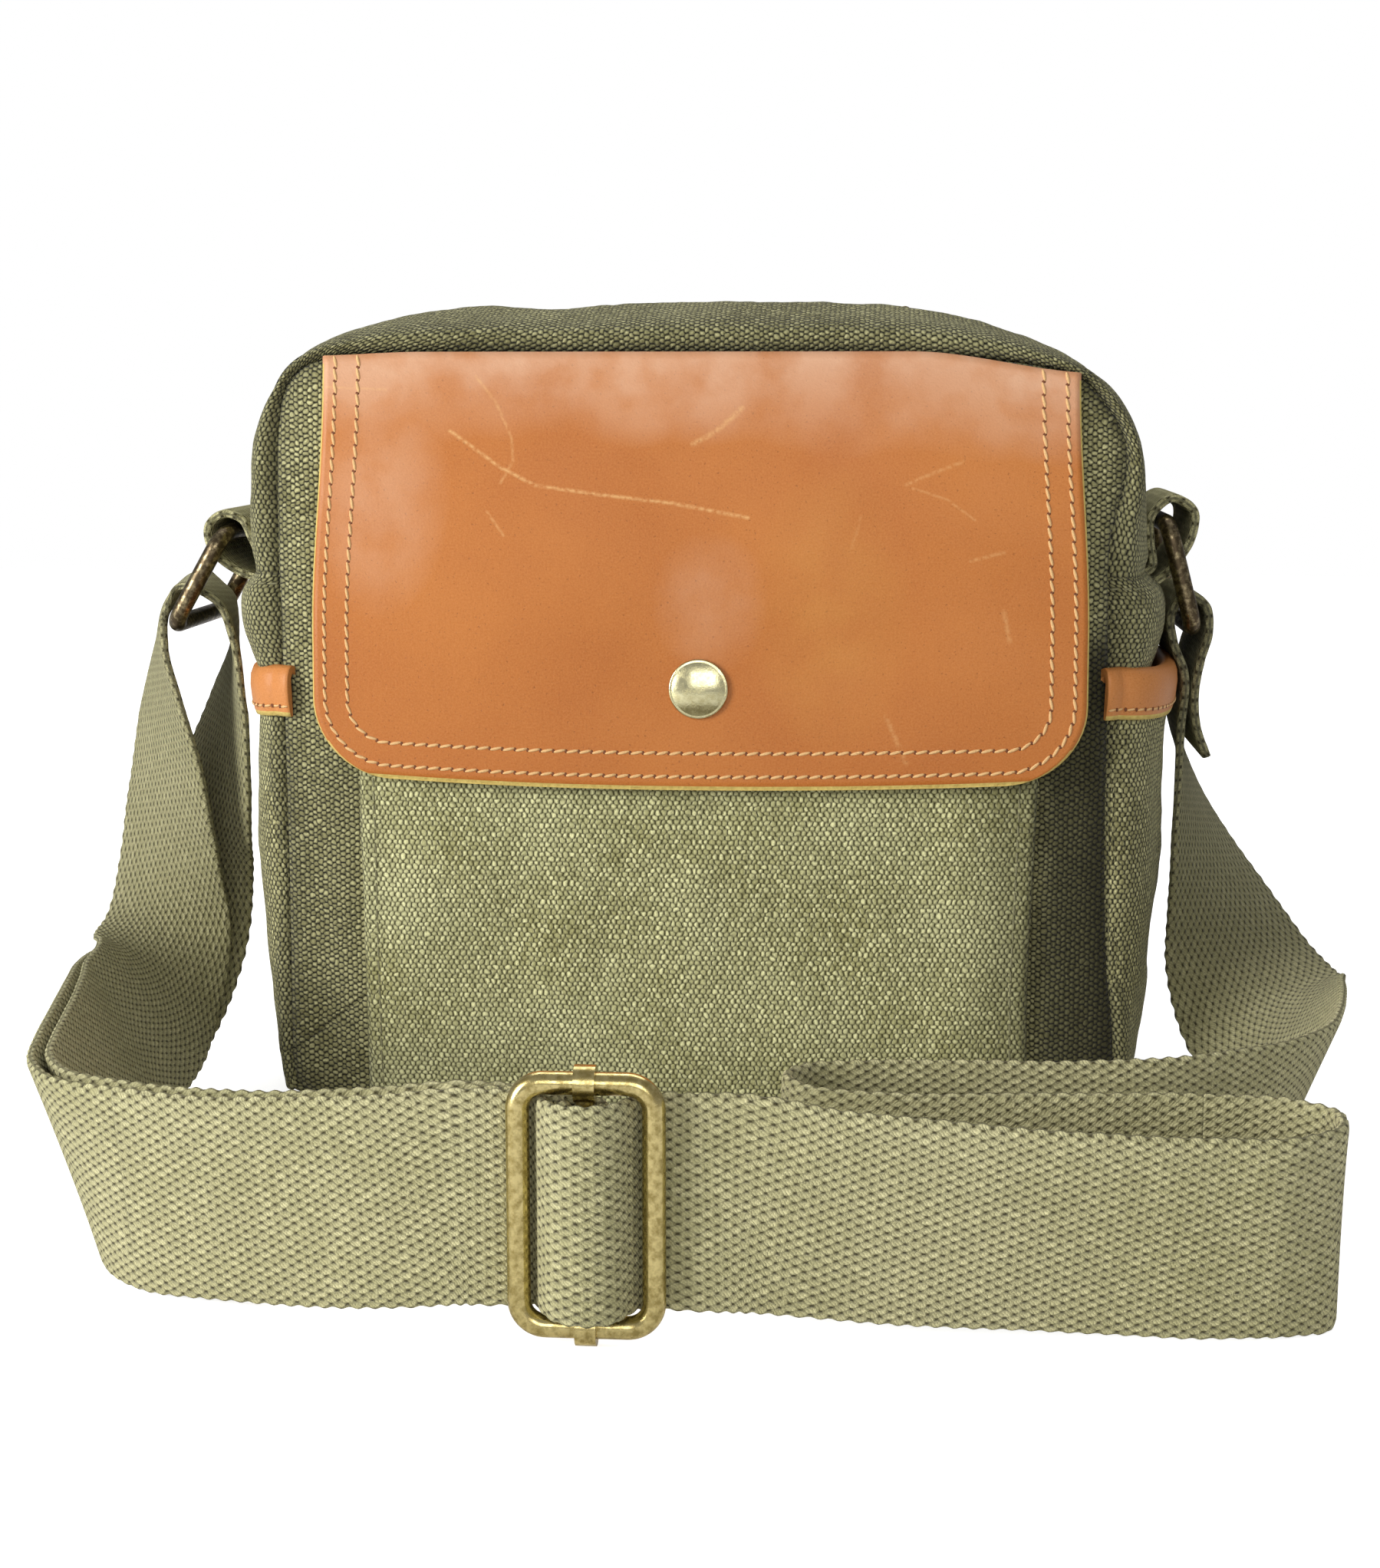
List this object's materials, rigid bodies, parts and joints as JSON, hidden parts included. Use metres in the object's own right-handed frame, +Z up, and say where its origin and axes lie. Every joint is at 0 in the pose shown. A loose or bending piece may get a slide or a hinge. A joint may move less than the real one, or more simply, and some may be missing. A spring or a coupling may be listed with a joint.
{
  "type": "messenger bag",
  "caption": "Small canvas messenger bag with a snap-down leather flap, zip top, front and side pockets, and a folded webbing shoulder strap on brass rings.",
  "frame": {"origin": "middle of the base, on the surface that the bag stands on", "axes": "+Z up, -Y towards the front (the flap's side), +X to the right as seen from the front"},
  "size_m": [0.2921, 0.24, 0.1788],
  "materials": {
    "canvas": "washed matt canvas",
    "pocket_canvas": "washed matt canvas",
    "leather": "waxed pull-up leather",
    "webbing": "heavy cotton webbing",
    "brass": "antique brass",
    "lining": "plain cotton",
    "board": "plain",
    "zip_tape": "woven tape",
    "zip_coil": "nylon coil"
  },
  "bodies": {
    "bag": {"front_panel": "canvas", "back_panel": "canvas", "bottom_panel": "canvas", "top_panel_front": "canvas", "top_panel_back": "canvas", "zip_end_left": "canvas", "zip_end_right": "canvas", "gusset_left": "canvas", "gusset_right": "canvas", "side_pocket_left": "canvas", "side_pocket_right": "canvas", "front_pocket": "pocket_canvas", "flap_seam_strip": "leather", "side_pocket_binding_left": "leather", "side_pocket_binding_right": "leather", "strap_left_inner": "webbing", "strap_left_rise_inner": "webbing", "strap_left_rise_outer": "webbing", "strap_left_outer": "webbing", "strap_front_right": "webbing", "strap_folds": "webbing", "strap_right_rise": "webbing", "strap_right_loop": "webbing", "strap_over_bar": "webbing", "strap_sewn_end": "webbing", "ring_tab_left": "webbing", "ring_tab_right": "webbing", "snap_stud": "brass", "snap_back": "brass", "zip_stops": "brass", "lining": "lining", "base_board": "board", "zip_tape_front": "zip_tape", "zip_tape_back": "zip_tape", "zip_coil_front": "zip_coil", "zip_coil_back": "zip_coil"},
    "flap": {"flap_leather": "leather", "flap_lining": "lining", "snap_cap": "brass", "snap_socket": "brass"},
    "zip_slider": {"zip_slider": "brass"},
    "zip_pull": {"zip_pull": "brass"},
    "ring_left": {"ring_left": "brass"},
    "ring_right": {"ring_right": "brass"},
    "slide_buckle": {"slide_frame": "brass", "slide_bar": "brass"}
  },
  "joints": [
    {"name": "flap_hinge", "type": "hinge", "parent": "bag", "child": "flap", "pos_m": [0, -0.0505, 0.1675], "axis": [-1, 0, 0], "range_deg": [0, 150]},
    {"name": "zip_slide", "type": "slide", "parent": "bag", "child": "zip_slider", "axis": [-1, 0, 0], "range_m": [0, 0.092]},
    {"name": "zip_pull_hinge", "type": "hinge", "parent": "zip_slider", "child": "zip_pull", "pos_m": [0.045, 0, 0.1773], "axis": [0, 1, 0], "range_deg": [0, 175]},
    {"name": "ring_left_hinge", "type": "hinge", "parent": "bag", "child": "ring_left", "pos_m": [-0.1106, 0, 0.127], "axis": [0, 1, 0], "range_deg": [-26, 60], "deforming": ["strap_left_rise_inner", "strap_left_rise_outer"]},
    {"name": "ring_right_hinge", "type": "hinge", "parent": "bag", "child": "ring_right", "pos_m": [0.104, 0, 0.1303], "axis": [0, -1, 0], "range_deg": [-6, 70], "deforming": ["strap_right_rise", "strap_right_loop"]},
    {"name": "slide_along_strap", "type": "slide", "parent": "bag", "child": "slide_buckle", "axis": [1, 0, 0], "range_m": [-0.012, 0.012], "deforming": ["strap_over_bar", "strap_sewn_end"]}
  ]
}
